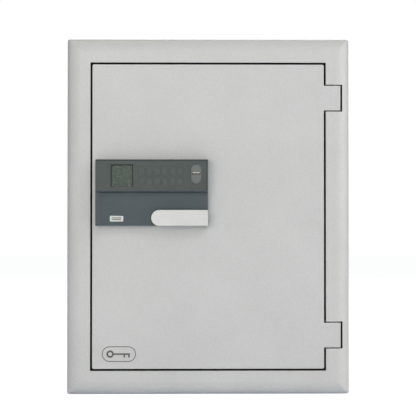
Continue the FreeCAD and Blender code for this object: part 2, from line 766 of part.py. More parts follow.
def make_door_plug():
    """The boltwork's casing behind the leaf, its cover and screws, the fire strip and the fixed dogs."""
    ring = plug_plate(0.0, PLUG_START, PLUG_END)
    inside = plug_room(PLUG_SHEET, PLUG_END - PLUG_SHEET)
    behind_flange = plug_room(PLUG_SHEET + PLUG_FLANGE, DEPTH)
    ring = ring.cut([inside, behind_flange])
    past = 5.0
    openings = [rod_x(-PLUG_X - past, -PLUG_X + past, BOLT_D, z, GUIDE_R) for z in BOLT_Z]
    openings += [rod_x(PLUG_X - past, PLUG_X + past, DOG_D, z, DOG_R + FIT) for z in DOG_Z]
    screw_room = COVER_SCREW_R + PLAY
    screw_holes = [rod_y(x, PLUG_END - past, DEPTH, z, screw_room) for x, z in cover_screw_places()]
    node("boltwork_casing", ring.cut(openings + screw_holes))

    cover = round_rim(plug_plate(0.0, PLUG_END, PLUG_END + COVER), PLUG_END + COVER, COVER_EDGE)
    node("door_back_cover", cover.cut(screw_holes))
    node("cover_screws", *[cover_screw(x, z) for x, z in cover_screw_places()])
    node("intumescent_strip", plug_plate(STRIP, STRIP_D0, STRIP_D1).cut(plug_plate(0.0, 0, DEPTH)))

    dogs = []
    for z in DOG_Z:
        pin = rod_x(DOG_X0, DOG_TIP_X, DOG_D, z, DOG_R)
        tip = [edge for edge in pin.Edges if edge.CenterOfMass.x > DOG_TIP_X - 0.1]
        collar = rod_x(DOG_COLLAR_X0, PLUG_X - PLUG_SHEET, DOG_D, z, DOG_COLLAR_R)
        dogs.append(fuse(pin.makeChamfer(DOG_CHAMFER, tip), collar))
    node("fixed_dogs", *dogs)


def make_bolt_bar():
    """The upright bar that joins the bolts, with arms for the guide studs and for the crank."""
    bar = box(BAR_X0, BAR_X1, BAR_D0, BAR_D1, BOLT_Z[0] - BAR_END, BOLT_Z[-1] + BAR_END)
    arms = [box(BAR_X0, CRANK_X + YOKE_PAST, BAR_D0, BAR_D1, YOKE_Z0, YOKE_Z1)]
    openings = [slot_z(CRANK_X, HANDLE_Z - CRANK_R, CRANK_Z, CRANK_PIN_R + CRANK_SLOP)]
    for z in STUD_Z:
        arms.append(box(BAR_X0, STUD_X + STROKE + STUD_ARM, BAR_D0, BAR_D1, z - STUD_ARM, z + STUD_ARM))
        openings.append(slot_x(STUD_X, STUD_X + STROKE, z, STUD_R + STUD_ROOM))
    half = LOCK_PIN_R + NOTCH_GAP
    for x in (LOCK_PIN_X, LOCK_PIN_X + STROKE):
        openings.append(box(x - half, x + half, 0, DEPTH, YOKE_Z0 - OVER, YOKE_Z0 + NOTCH_DEPTH))
    openings += [rod_y(CROSS_PIN_X, 0, DEPTH, z, CROSS_PIN_R + FIT) for z in BOLT_Z]

    def outer_corner(px, pd, pz):
        return px > BAR_X1 + 1.0 or pz < BOLT_Z[0] or pz > BOLT_Z[-1]

    node("bolt_bar", round_along(fuse(bar, *arms), ALONG_Y, BAR_CORNER, outer_corner).cut(openings))


def lock_bolt(z):
    """A round bolt, slotted over the bar, and its cross pin."""
    bolt = rod_x(BOLT_TIP_X, BOLT_INNER_X, BOLT_D, z, BOLT_R)
    tip = [edge for edge in bolt.Edges if edge.CenterOfMass.x < BOLT_TIP_X + 0.1]
    bolt = bolt.makeChamfer(BOLT_CHAMFER, tip)
    slot_height = (z - BOLT_R - OVER, z + BOLT_R + OVER)
    slot = box(BAR_X0 - FIT, BOLT_INNER_X + OVER, BAR_D0 - FIT, BAR_D1 + FIT, *slot_height)
    pin_hole = rod_y(CROSS_PIN_X, 0, DEPTH, z, CROSS_PIN_R + FIT)
    half = BOLT_R - CROSS_PIN_SHORT
    cross_pin = rod_y(CROSS_PIN_X, BOLT_D - half, BOLT_D + half, z, CROSS_PIN_R)
    return [bolt.cut([slot, pin_hole]), cross_pin]


def bolt_guide(z):
    """The flanged bush that a bolt slides in."""
    tube = rod_x(-PLUG_X, -PLUG_X + GUIDE_LENGTH, BOLT_D, z, GUIDE_R - FIT)
    flange = rod_x(-PLUG_X + PLUG_SHEET, -PLUG_X + GUIDE_FLANGE_END, BOLT_D, z, GUIDE_FLANGE_R)
    bore = rod_x(-PLUG_X - OVER, 0, BOLT_D, z, BOLT_R + GUIDE_PLAY)
    return fuse(tube, flange).cut(bore)


def make_bolts():
    node("lock_bolts", *[piece for z in BOLT_Z for piece in lock_bolt(z)])
    node("bolt_guides", *[bolt_guide(z) for z in BOLT_Z])


def make_motor_lock():
    """The case that holds the blocking pin; the pin rises into a notch in the yoke's lower edge."""
    low = LOCK_CASE_TOP - LOCK_CASE_HEIGHT
    sides = (LOCK_CASE_X0, LOCK_CASE_X1, low, LOCK_CASE_TOP)
    case = plate(*sides, LOCK_CASE_CORNER, PLUG_START, LOCK_CASE_D1)
    bore_low = LOCK_CASE_TOP - LOCK_BORE
    bore = rod_z(LOCK_PIN_X, BOLT_D, bore_low, LOCK_CASE_TOP + OVER, LOCK_PIN_R + LOCK_PIN_PLAY)
    depths = (PLUG_START + LOCK_FACE, LOCK_CASE_D1 - LOCK_FACE)
    room = box(LOCK_ROOM_X0, LOCK_CASE_X1 - LOCK_SIDE, *depths, low + LOCK_END, LOCK_CASE_TOP - LOCK_END)
    node("lock_case", case.cut([bore, room]))

    top = LOCK_CASE_TOP + LOCK_PIN_PROUD
    pin = rod_z(LOCK_PIN_X, BOLT_D, LOCK_CASE_TOP - LOCK_PIN_BURIED, top, LOCK_PIN_R)
    tip = [edge for edge in pin.Edges if edge.CenterOfMass.z > top - 0.1]
    node("blocking_pin", pin.makeChamfer(1.0, tip))


def make_lever():
    """The lever, half round about its pivot, and the spindle that it turns through the door."""

    def far_end(px, pd, pz):
        return px > LEVER_END_X - 1.0

    span = (LEVER_FRONT, LEVER_BACK)
    grip = box(HANDLE_X, LEVER_END_X, *span, HANDLE_Z - LEVER_R, HANDLE_Z + LEVER_R)
    grip = round_along(grip, ALONG_Y, LEVER_END_CORNER, far_end)
    lever = fuse(rod_y(HANDLE_X, *span, HANDLE_Z, LEVER_R), grip)
    lever = round_rim(lever, LEVER_FRONT, LEVER_EDGE)
    hub = rod_y(HANDLE_X, LEVER_BACK, HUB_BACK, HANDLE_Z, HUB_R)
    socket = rod_y(HANDLE_X, SPINDLE_FRONT - SPINDLE_END_GAP, HUB_BACK + OVER, HANDLE_Z, SPINDLE_R + FIT)
    node("handle_lever", fuse(lever, hub).cut(socket))
    node("spindle", rod_y(HANDLE_X, SPINDLE_FRONT, CRANK_D1, HANDLE_Z, SPINDLE_R))

    tube = rod_y(HANDLE_X, LEAF_SHEET, LEAF_BACK, HANDLE_Z, SPINDLE_TUBE_R)
    node("spindle_tube", tube.cut(rod_y(HANDLE_X, 0, DEPTH, HANDLE_Z, SPINDLE_TUBE_BORE)))
    bush = rod_y(HANDLE_X, LEAF_BACK, SPINDLE_BUSH_END, HANDLE_Z, SPINDLE_BUSH_R)
    flange = rod_y(HANDLE_X, PLUG_START, PLUG_START + SPINDLE_FLANGE, HANDLE_Z, SPINDLE_FLANGE_R)
    bore = rod_y(HANDLE_X, 0, DEPTH, HANDLE_Z, SPINDLE_R + SPINDLE_PLAY)
    node("spindle_bush", fuse(bush, flange).cut(bore))


def make_crank():
    """The crank on the spindle's inner end; its pin drives the yoke of the bolt bar."""
    hub = rod_y(HANDLE_X, CRANK_D0, CRANK_D1, HANDLE_Z, CRANK_HUB_R)
    eye = rod_y(CRANK_X, CRANK_D0, CRANK_D1, CRANK_Z, CRANK_EYE_R)
    half = CRANK_WEB / 2.0 / math.sqrt(2.0)
    outline = [
        (HANDLE_X - half, HANDLE_Z - half),
        (CRANK_X - half, CRANK_Z - half),
        (CRANK_X + half, CRANK_Z + half),
        (HANDLE_X + half, HANDLE_Z + half),
    ]
    web = prism_y(outline, CRANK_D0, CRANK_D1)
    drive_pin = rod_y(CRANK_X, CRANK_D1, BAR_D1 + CRANK_PIN_PROUD, CRANK_Z, CRANK_PIN_R)
    bore = rod_y(HANDLE_X, 0, DEPTH, HANDLE_Z, SPINDLE_R + FIT)
    node("crank", fuse(hub, eye, web, drive_pin).cut(bore))


def make_battery_box():
    """The battery box on the inside of the door, its cells and a lid that slides down."""
    case = plate(BOX_X0, BOX_X1, BOX_Z0, BOX_Z1, BOX_CORNER, BOX_D0, BOX_D1)
    case = round_rim(case, BOX_D1, BOX_EDGE)
    x0 = BOX_X0 + BOX_WALL
    x1 = BOX_X1 - BOX_WALL
    floor_z = BOX_Z0 + BOX_WALL
    room = box(x0, x1, BOX_D0 + BOX_FLOOR, BOX_D1 + OVER, floor_z, BOX_Z1 - BOX_WALL)
    groove = box(x0 - LID_GROOVE, x1 + LID_GROOVE, LID_D0, LID_D1, BOX_Z0 - OVER, LID_GROOVE_TOP)
    mouth = box(x0, x1, LID_D0, BOX_D1 + OVER, BOX_Z0 - OVER, floor_z + OVER)
    node("battery_box", case.cut([room, groove, mouth]))

    lid_x = (x0 - LID_GROOVE + PLAY, x1 + LID_GROOVE - PLAY)
    lid = box(*lid_x, LID_D0 + PLAY / 2.0, LID_D1 - PLAY / 2.0, BOX_Z0 + PLAY, LID_GROOVE_TOP - PLAY)
    ribs = [box(RIB_X0, RIB_X1, LID_D1 - PLAY, LID_D1 + RIB_PROUD, z, z + RIB) for z in RIB_Z]
    node("battery_lid", fuse(lid, *ribs))

    cells = []
    d = BOX_D0 + BOX_FLOOR + PLAY + CELL_R
    low = floor_z + CELL_GAP
    for i in range(CELL_COUNT):
        x = CELL_X0 + i * CELL_PITCH
        can = rod_z(x, d, low, low + CELL_LENGTH - NUB, CELL_R)
        cells.append(fuse(can, rod_z(x, d, low, low + CELL_LENGTH, NUB_R)))
    node("batteries", *cells)


def emblem_plate(radius):
    """A thin plate on the door with half-round ends of that radius."""
    low = EMBLEM_Z - radius
    high = EMBLEM_Z + radius
    middle = box(EMBLEM_X - EMBLEM_REACH, EMBLEM_X + EMBLEM_REACH, -EMBLEM_THICK, 0, low, high)
    places = (EMBLEM_X - EMBLEM_REACH, EMBLEM_X + EMBLEM_REACH)
    return fuse(middle, *[rod_y(x, -EMBLEM_THICK, 0, EMBLEM_Z, radius) for x in places])


def make_emblem():
    """A plain printed mark low on the door: a key in an outline with half-round ends."""
    outline = emblem_plate(EMBLEM_R).cut(emblem_plate(EMBLEM_R - EMBLEM_LINE))
    bow = rod_y(BOW_X, -EMBLEM_THICK, 0, EMBLEM_Z, BOW_R)
    shank = box(SHANK_X0, SHANK_X1, -EMBLEM_THICK, 0, EMBLEM_Z - SHANK / 2.0, EMBLEM_Z + SHANK / 2.0)
    teeth = [box(x, x + SHANK, -EMBLEM_THICK, 0, EMBLEM_Z - TOOTH, EMBLEM_Z) for x in TOOTH_X]
    key = fuse(bow, shank, *teeth).cut(rod_y(BOW_X, -OVER, OVER, EMBLEM_Z, BOW_HOLE_R))
    node("door_emblem", outline, key)


# ---------------------------------------------------------------- lock unit


def recess_shape():
    """The space in front of the unit's sunken part: a sloping left wall and a narrow sloping top wall."""
    right = UNIT_X1 + RECESS_PAST
    below = UNIT_Z0 - RECESS_PAST
    ahead = CONSOLE_D - RECESS_PAST
    seen_from_above = [
        (UNIT_X0, CONSOLE_D),
        (UNIT_X0 + RECESS_LEFT, FLOOR_D),
        (right, FLOOR_D),
        (right, ahead),
        (UNIT_X0, ahead),
    ]
    seen_from_the_side = [
        (CONSOLE_D, RECESS_TOP_OUTER),
        (FLOOR_D, RECESS_TOP_INNER),
        (FLOOR_D, below),
        (ahead, below),
        (ahead, RECESS_TOP_OUTER),
    ]
    left_slope = prism_z(seen_from_above, below, UNIT_Z1)
    return left_slope.common(prism_x(seen_from_the_side, UNIT_X0 - OVER, right))


def make_unit_housing():
    """The dark housing, raised above and sunken below, its two mounting plates and its badge."""
    block = plate(UNIT_X0, UNIT_X1, UNIT_Z0, UNIT_Z1, UNIT_CORNER, CONSOLE_D, 0)
    block = round_rim(block, CONSOLE_D, UNIT_EDGE)
    well_r = LEVER_R + WELL_GAP
    well = rod_y(HANDLE_X, FLOOR_D - OVER, WELL_D, HANDLE_Z, well_r)
    run = box(HANDLE_X, UNIT_X1 + OVER, FLOOR_D - OVER, WELL_D, UNIT_Z0 - OVER, HANDLE_Z + well_r)
    seat = box(UNIT_X0 + RIM, UNIT_X1 - RIM, CONSOLE_D - OVER, FASCIA_BACK, FASCIA_Z0, UNIT_Z1 - RIM)
    console_sides = (UNIT_X0 + CONSOLE_WALL, UNIT_X1 - CONSOLE_WALL)
    console_room = box(*console_sides, FASCIA_BACK, OVER, CONSOLE_ROOM_Z0, UNIT_Z1 - CONSOLE_WALL)
    well_side_x = HANDLE_X - well_r - UNIT_WALL
    heights = (UNIT_Z0 + UNIT_WALL, LOWER_ROOM_Z1)
    left_room = box(UNIT_X0 + UNIT_WALL, well_side_x, FLOOR_D + UNIT_WALL, OVER, *heights)
    right_room = box(well_side_x - OVER, UNIT_X1 - UNIT_WALL, WELL_D + UNIT_WALL, OVER, *heights)
    spindle_hole = rod_y(HANDLE_X, WELL_D - OVER, OVER, HANDLE_Z, SPINDLE_R + 1.0)
    rooms = [console_room, left_room, right_room]
    node("unit_housing", block.cut([recess_shape(), well, run, seat, spindle_hole] + rooms))

    inset = UNIT_WALL + MOUNT_GAP
    sides = (UNIT_X0 + inset, UNIT_X1 - inset)
    lower = plate(*sides, UNIT_Z0 + inset, LOWER_ROOM_Z1 - MOUNT_GAP, MOUNT_CORNER, -MOUNT_PLATE, 0)
    inset = CONSOLE_WALL + MOUNT_GAP
    sides = (UNIT_X0 + inset, UNIT_X1 - inset)
    upper = plate(*sides, CONSOLE_ROOM_Z0 + PLAY, UNIT_Z1 - inset, MOUNT_CORNER, -MOUNT_PLATE, 0)
    through = (-MOUNT_PLATE - OVER, OVER)
    screw_holes = unit_screw_holes(*through, UNIT_SCREW_R)
    lower = lower.cut(door_passages(*through, SPINDLE_ROOM) + screw_holes)
    node("unit_mounting_plates", lower, upper.cut(screw_holes))

    badge = plate(*BADGE, BADGE_CORNER, FLOOR_D - BADGE_THICK, FLOOR_D)
    node("unit_badge", round_rim(badge, FLOOR_D - BADGE_THICK, BADGE_EDGE))


def key_places():
    """(name, x, z) of each key."""
    for row, names in enumerate(KEY_ROWS):
        for column, name in enumerate(names):
            yield name, KEY_X0 + column * KEY_PITCH_X, KEY_Z_UPPER - row * KEY_PITCH_Z


def key_sides(x, z, grow):
    """Lowest and highest x, then lowest and highest z, of a key's window grown all round."""
    half_x = KEY_WIDTH / 2.0 + grow
    half_z = KEY_HEIGHT / 2.0 + grow
    return x - half_x, x + half_x, z - half_z, z + half_z


def make_fascia():
    """The console's front plate, with windows for the display, the keys and the finger sensor."""
    through = (CONSOLE_D - OVER, FASCIA_BACK + OVER)
    window_x = (DISPLAY_X0, DISPLAY_X0 + DISPLAY_SIDE)
    windows = [box(*window_x, *through, DISPLAY_Z0, DISPLAY_Z0 + DISPLAY_SIDE)]
    windows.append(capsule(SENSOR_X, SENSOR_Z, CAPSULE_W + PLAY, CAPSULE_H + PLAY, *through))
    windows += [plate(*key_sides(x, z, 0.0), KEY_CORNER, *through) for name, x, z in key_places()]
    sides = (UNIT_X0 + RIM + PLAY, UNIT_X1 - RIM - GROOVE)
    fascia = box(*sides, CONSOLE_D, FASCIA_BACK, FASCIA_Z0 + PLAY, UNIT_Z1 - RIM - GROOVE)
    node("keypad_fascia", fascia.cut(windows))


def make_keys():
    """Each key has a cap through the fascia, a lip that keeps it in, and a stem towards the board."""
    for name, x, z in key_places():
        cap = plate(*key_sides(x, z, -PLAY), KEY_CORNER - PLAY, CONSOLE_D - KEY_PROUD, KEY_BACK)
        lip_x0, lip_x1, lip_z0, lip_z1 = key_sides(x, z, KEY_LIP)
        lip = box(lip_x0, lip_x1, FASCIA_BACK + KEY_LIP_GAP, KEY_BACK, lip_z0, lip_z1)
        stem = rod_y(x, KEY_STEM_START, KEY_STEM_END, z, KEY_STEM_R)
        node("key_" + name, fuse(cap, lip, stem))


def make_display():
    """A clear pane behind the fascia, and the display module behind the pane."""
    sides = (DISPLAY_X0 - DISPLAY_LAP, DISPLAY_X0 + DISPLAY_SIDE + DISPLAY_LAP)
    heights = (DISPLAY_Z0 - DISPLAY_LAP, DISPLAY_Z0 + DISPLAY_SIDE + DISPLAY_LAP)
    pane_back = FASCIA_BACK + DISPLAY_PANE
    node("display_window", box(*sides, FASCIA_BACK, pane_back, *heights))
    node("lcd_module", box(*sides, pane_back, BOARD_FRONT, *heights))


def slot_block(shrink, d0):
    """A block the size of the sensor's slot, from depth d0 to the circuit board."""
    half_x = SLOT_HALF_X - shrink
    half_z = SLOT_HALF_Z - shrink
    return box(SENSOR_X - half_x, SENSOR_X + half_x, d0, BOARD_FRONT, SLOT_Z - half_z, SLOT_Z + half_z)


def make_sensor():
    """The capsule-shaped bezel with a slot, and the sensor bar in the slot."""
    front = CONSOLE_D - CAPSULE_PROUD
    bezel = capsule(SENSOR_X, SENSOR_Z, CAPSULE_W, CAPSULE_H, front, FASCIA_BACK)
    bezel = round_rim(bezel, front, CAPSULE_EDGE)
    grown = (CAPSULE_W + 2.0 * COLLAR_REACH, CAPSULE_H + 2.0 * COLLAR_REACH)
    collar = capsule(SENSOR_X, SENSOR_Z, *grown, FASCIA_BACK, FASCIA_BACK + COLLAR)
    node("fingerprint_bezel", fuse(bezel, collar).cut(slot_block(0.0, front - OVER)))
    node("fingerprint_sensor", slot_block(SENSOR_GAP, CONSOLE_D - SENSOR_PROUD))


def make_board():
    """The circuit board behind the keys, with two chips on its back."""
    back = BOARD_FRONT + BOARD
    sides = (UNIT_X0 + BOARD_INSET, UNIT_X1 - BOARD_INSET)
    board = box(*sides, BOARD_FRONT, back, BOARD_Z0, UNIT_Z1 - BOARD_INSET)
    chips = [box(x, x + CHIP, back, back + CHIP_THICK, CHIP_Z, CHIP_Z + CHIP) for x in CHIP_X]
    node("circuit_board", fuse(board, *chips))


def main():
    make_casing()
    make_rebate_and_liner()
    make_hinges()
    make_filler()
    make_interior()
    make_door_leaf()
    make_door_plug()
    make_bolt_bar()
    make_bolts()
    make_motor_lock()
    make_lever()
    make_crank()
    make_battery_box()
    make_emblem()
    make_unit_housing()
    make_fascia()
    make_keys()
    make_display()
    make_sensor()
    make_board()
    os.makedirs("parts", exist_ok=True)
    for name, shape in sorted(nodes.items()):
        shape.exportStep("parts/" + name + ".step")
        solids = len(shape.Solids)
        print(f"{name:22s} {solids:2d} solid(s) {shape.Volume / 1000.0:10.2f} cm3 valid {shape.isValid()}")
    print(len(nodes), "nodes")


main()
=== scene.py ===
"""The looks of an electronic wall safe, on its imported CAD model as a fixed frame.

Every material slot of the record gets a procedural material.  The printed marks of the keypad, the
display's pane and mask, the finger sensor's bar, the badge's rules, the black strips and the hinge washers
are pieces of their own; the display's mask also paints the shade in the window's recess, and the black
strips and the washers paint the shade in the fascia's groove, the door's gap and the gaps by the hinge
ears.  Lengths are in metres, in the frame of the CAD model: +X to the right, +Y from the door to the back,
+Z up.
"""

import math

import bpy
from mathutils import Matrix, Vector


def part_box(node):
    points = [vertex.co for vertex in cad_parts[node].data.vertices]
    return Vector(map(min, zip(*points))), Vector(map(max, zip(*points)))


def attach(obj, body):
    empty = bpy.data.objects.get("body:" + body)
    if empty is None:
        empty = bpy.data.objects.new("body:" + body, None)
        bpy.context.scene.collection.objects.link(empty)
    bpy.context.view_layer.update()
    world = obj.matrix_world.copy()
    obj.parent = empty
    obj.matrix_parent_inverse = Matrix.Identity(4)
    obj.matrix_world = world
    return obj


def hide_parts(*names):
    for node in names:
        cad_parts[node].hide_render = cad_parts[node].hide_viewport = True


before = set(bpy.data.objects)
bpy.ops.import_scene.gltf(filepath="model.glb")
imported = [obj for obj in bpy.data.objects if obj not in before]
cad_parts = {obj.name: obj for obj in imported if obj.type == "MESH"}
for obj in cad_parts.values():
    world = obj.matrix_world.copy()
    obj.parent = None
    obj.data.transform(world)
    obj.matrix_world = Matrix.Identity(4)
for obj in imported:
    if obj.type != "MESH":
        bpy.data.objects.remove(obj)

MM = 0.001

# Camera: where its axis would meet the door's front plane, and how much of that plane it sees
VIEW_DISTANCE = 2.5
VIEW_WIDTH = 0.7244
VIEW_CENTRE_X = -0.4 * MM
VIEW_CENTRE_Z = 325.6 * MM
PITCH_UP = math.radians(1.04)
YAW_RIGHT = math.radians(0.88)
SENSOR_WIDTH = 36.0

# Room
FLOOR_SIDE = 14.0
FLOOR_COLOUR = (0.90, 0.91, 0.92)
FLOOR_GLOW = 0.09
GLOW_COLOUR = (0.40, 0.62, 1.0)
FLOOR_WHITE = 1.2          # brightness that the camera sees the floor with
FLOOR_FADE = 0.8           # how far that brightness hides the floor's own shading
SKY_COLOUR = (1.0, 1.0, 1.0)
SKY_STRENGTH = 0.04

# Area lights: place, point that they face, width, height, power, colour
MIDDLE = (0.0, -0.2, 0.32)
PANEL = (1.5, 1.2)
LIGHTS = {
    "front_left": ((-0.77, -3.07, 0.74), MIDDLE, *PANEL, 29.0, (0.97, 1.0, 0.91)),
    "left": ((-2.10, -2.30, 0.74), MIDDLE, *PANEL, 6.0, (1.0, 0.88, 0.65)),
    "far_left": ((-2.87, -0.97, 0.74), MIDDLE, *PANEL, 8.0, (0.86, 0.88, 1.0)),
    "front_top": ((0.61, -2.48, 2.17), MIDDLE, *PANEL, 20.5, (0.97, 0.95, 1.0)),
    "right_top": ((2.28, -0.81, 2.17), MIDDLE, *PANEL, 23.5, (0.84, 0.98, 1.0)),
    "right": ((2.87, -0.97, 0.74), MIDDLE, *PANEL, 24.5, (1.0, 0.88, 0.76)),
    "over": ((0.0, 0.47, 2.83), MIDDLE, 2.4, 1.4, 17.0, (1.0, 0.93, 0.82)),
    "back": ((0.3, 3.2, 1.7), (0.0, 0.2, 0.32), 2.6, 2.0, 46.0, (1.0, 1.0, 1.0)),
}

# Printed marks
INK = 0.03 * MM            # thickness of the printed marks
SINK = 0.01 * MM           # how far a mark reaches into the surface below it
DIGIT_HEIGHT = 5.4 * MM
DIGIT_SHARE = 0.7          # a digit's height as a share of the font's size
SIGN_SIZE = 2.0 * MM
SIGN_LINE = 0.45 * MM
SIGN_STEPS = 28
RING_ENDS = (125.0, 415.0)     # degrees, where the ring of the sign for on starts and ends
STROKE_ENDS = (0.4, 1.3)       # heights of its stroke's ends, as shares of the ring's radius
ARROW_SHAFT = ((1.0, 0.9), (1.0, -0.2), (-1.0, -0.2))      # (x, z) as shares of SIGN_SIZE
ARROW_HEAD = ((-0.3, 0.5), (-1.05, -0.2), (-0.3, -0.9))
SHARP_LIMIT = 0.3          # keeps the outer side of a sharp bend from running far out
PANE_LAP = 1.45 * MM       # hidden edge of the display's window, behind the fascia
# width of the display's black border, print and painted shade of the window's recess
MASK_AND_SHADE_LINE = 2.1 * MM
PANE_AIR = 0.1 * MM        # between the display's window and the display
PANE_EDGE = 0.15 * MM
PANE_EDGE_STEPS = 2
BADGE_RULES = (0.64, 0.34)     # heights of the badge's two rules, as shares of its height
BADGE_RULE_LINE = 1.9 * MM
BADGE_RULE_INSET = 3.4 * MM
SENSOR_LINE = 1.4 * MM
SENSOR_LINE_INSET = 1.2 * MM

# Black strips and washers that paint the shade in the fascia's groove, the door's gap and the gaps by the
# hinge ears
GROOVE = 0.9 * MM          # width of the groove along the fascia's top and right edges
GROOVE_DEPTH = 0.5 * MM    # how far its black filling, a painted shade, lies behind the fascia's front
GROOVE_BASE = 0.6 * MM
REBATE_SHEET = 1.5 * MM    # sheet of the frame that the door closes into
LANDING_DEPTH = 29.0 * MM  # from the cabinet's front to the landing behind the door's edge
LINING = 0.5 * MM          # black strip on that frame's four walls and on its landing, painted shade in the door's gap, finished as fire strip
LINING_FRONT = 2.6 * MM    # from the cabinet's front to the front edge of the strip on the walls
LINING_AIR = 0.05 * MM     # between the strip on the walls and the strip on the landing
LANDING_STRIP = 3.9 * MM   # width of the strip on the landing, up to the gasket
EAR_HEIGHT = 43.0 * MM
EAR_CLEAR = 4.0 * MM       # the lining stops this far short of each hinge ear
KNUCKLE_SHORT = 0.5 * MM   # a hinge's knuckle ends this far inside its ear
EAR_GAP = 2.0 * MM         # above and below a hinge ear
WASHER_AIR = 0.15 * MM     # a washer fills that gap but for this much on each side
WASHER_INNER = 4.2 * MM
WASHER_OUTER = 5.6 * MM
WASHER_STEPS = 32

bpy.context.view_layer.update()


# Materials

class Recipe:
    """One node material: a Principled shader with procedural colour, roughness and bump."""

    def __init__(self, name, metallic=0.0, specular=0.5):
        self.name = name
        self.material = bpy.data.materials.new(name)
        self.material.use_nodes = True
        self.nodes = self.material.node_tree.nodes
        self.links = self.material.node_tree.links
        self.shader = self.nodes["Principled BSDF"]
        self.shader.inputs["Metallic"].default_value = metallic
        self.shader.inputs["Specular IOR Level"].default_value = specular
        self.place = self.nodes.new("ShaderNodeTexCoord").outputs["Object"]

    def stretched(self, stretch):
        """Object coordinates squeezed along some axes, so that a pattern runs long across them."""
        mapping = self.nodes.new("ShaderNodeMapping")
        mapping.inputs["Scale"].default_value = stretch
        self.links.new(self.place, mapping.inputs["Vector"])
        return mapping.outputs["Vector"]

    def noise(self, size, stretch=(1.0, 1.0, 1.0), detail=3.0):
        """Soft noise whose blotches are about size across, as a value from 0 to 1."""
        texture = self.nodes.new("ShaderNodeTexNoise")
        texture.inputs["Scale"].default_value = 1.0 / size
        texture.inputs["Detail"].default_value = detail
        self.links.new(self.stretched(stretch), texture.inputs["Vector"])
        return texture.outputs["Fac"]

    def cells(self, size):
        """Distance to the nearest of many scattered points about size apart."""
        texture = self.nodes.new("ShaderNodeTexVoronoi")
        texture.inputs["Scale"].default_value = 1.0 / size
        self.links.new(self.place, texture.inputs["Vector"])
        return texture.outputs["Distance"]

    def flakes(self, size):
        """A random grey for each crystal of about that size."""
        texture = self.nodes.new("ShaderNodeTexVoronoi")
        texture.inputs["Scale"].default_value = 1.0 / size
        self.links.new(self.place, texture.inputs["Vector"])
        grey = self.nodes.new("ShaderNodeSeparateColor")
        self.links.new(texture.outputs["Color"], grey.inputs["Color"])
        return grey.outputs["Red"]

    def stripes(self, pitch, axis="Z"):
        """Smooth stripes across one axis, as a value from 0 to 1."""
        texture = self.nodes.new("ShaderNodeTexWave")
        texture.bands_direction = axis
        texture.inputs["Scale"].default_value = math.pi / (10.0 * pitch)
        texture.inputs["Distortion"].default_value = 0.0
        self.links.new(self.place, texture.inputs["Vector"])
        return texture.outputs["Fac"]

    def along(self, axis):
        """The place along one axis, in metres."""
        split = self.nodes.new("ShaderNodeSeparateXYZ")
        self.links.new(self.place, split.inputs["Vector"])
        return split.outputs[axis]

    def combine(self, operation, first, second):
        """Two values, or a value and a number, put together."""
        made = self.nodes.new("ShaderNodeMath")
        made.operation = operation
        for socket, value in zip(made.inputs, (first, second)):
            if isinstance(value, float):
                socket.default_value = value
            else:
                self.links.new(value, socket)
        return made.outputs["Value"]

    def spread(self, value, low, high, start=0.3, end=0.7):
        """The value's range from start to end, spread over low to high."""
        made = self.nodes.new("ShaderNodeMapRange")
        made.inputs["From Min"].default_value = start
        made.inputs["From Max"].default_value = end
        made.inputs["To Min"].default_value = low
        made.inputs["To Max"].default_value = high
        self.links.new(value, made.inputs["Value"])
        return made.outputs["Result"]

    def colours(self, value, dark, light):
        """A colour between dark and light."""
        made = self.nodes.new("ShaderNodeMix")
        made.data_type = "RGBA"
        colour_sockets = [s for s in made.inputs if s.type == "RGBA"]
        for socket, colour in zip(colour_sockets, (dark, light)):
            if isinstance(colour, tuple):
                socket.default_value = (*colour, 1.0)
            else:
                self.links.new(colour, socket)
        self.links.new(value, made.inputs["Factor"])
        return next(s for s in made.outputs if s.type == "RGBA")

    def paint(self, colour):
        self.links.new(colour, self.shader.inputs["Base Color"])

    def rough(self, value):
        self.links.new(value, self.shader.inputs["Roughness"])

    def bump(self, value, height):
        """Relief of the given height."""
        made = self.nodes.new("ShaderNodeBump")
        made.inputs["Distance"].default_value = height
        self.links.new(value, made.inputs["Height"])
        self.links.new(made.outputs["Normal"], self.shader.inputs["Normal"])


def shade(colour, factor):
    """The colour made darker or lighter."""
    return tuple(min(1.0, channel * factor) for channel in colour)


def powder_coat(name, colour, roughness=0.48):
    """Baked powder paint: faint mottling, wide clouds and a fine orange peel."""
    made = Recipe(name, specular=0.42)
    mottle = made.noise(3.2 * MM, detail=4.0)
    cloud = made.noise(110 * MM, detail=2.0)
    both = made.combine("ADD", made.spread(mottle, 0.0, 0.62), made.spread(cloud, 0.0, 0.38))
    made.paint(made.colours(both, shade(colour, 0.935), shade(colour, 1.065)))
    made.rough(made.spread(made.noise(9 * MM), roughness - 0.05, roughness + 0.07))
    peel = made.combine("ADD", made.noise(1.3 * MM, detail=2.0), made.cells(1.7 * MM))
    made.bump(peel, 0.035 * MM)
    return made


def moulded_plastic(name, colour, roughness, grain, relief, specular=0.45):
    """Injection-moulded plastic with an eroded texture of the given grain."""
    made = Recipe(name, specular=specular)
    flow = made.noise(38 * MM, stretch=(1.0, 1.0, 2.2), detail=2.0)
    speck = made.noise(2.6 * grain, detail=4.0)
    both = made.combine("ADD", made.spread(flow, 0.0, 0.5), made.spread(speck, 0.0, 0.5))
    made.paint(made.colours(both, shade(colour, 0.93), shade(colour, 1.07)))
    made.rough(made.spread(made.noise(6 * MM), roughness - 0.05, roughness + 0.06))
    made.bump(made.noise(grain, detail=5.0), relief)
    return made


def worked_metal(name, dark, light, roughness, stretch, groove):
    """Bare metal with the fine parallel marks of grinding, turning or brushing."""
    made = Recipe(name, metallic=1.0)
    marks = made.noise(0.5 * MM, stretch=stretch, detail=6.0)
    stain = made.noise(16 * MM, detail=3.0)
    both = made.combine("ADD", made.spread(marks, 0.0, 0.5), made.spread(stain, 0.0, 0.5))
    made.paint(made.colours(both, dark, light))
    made.rough(made.spread(marks, roughness - 0.08, roughness + 0.1))
    made.bump(marks, groove)
    return made


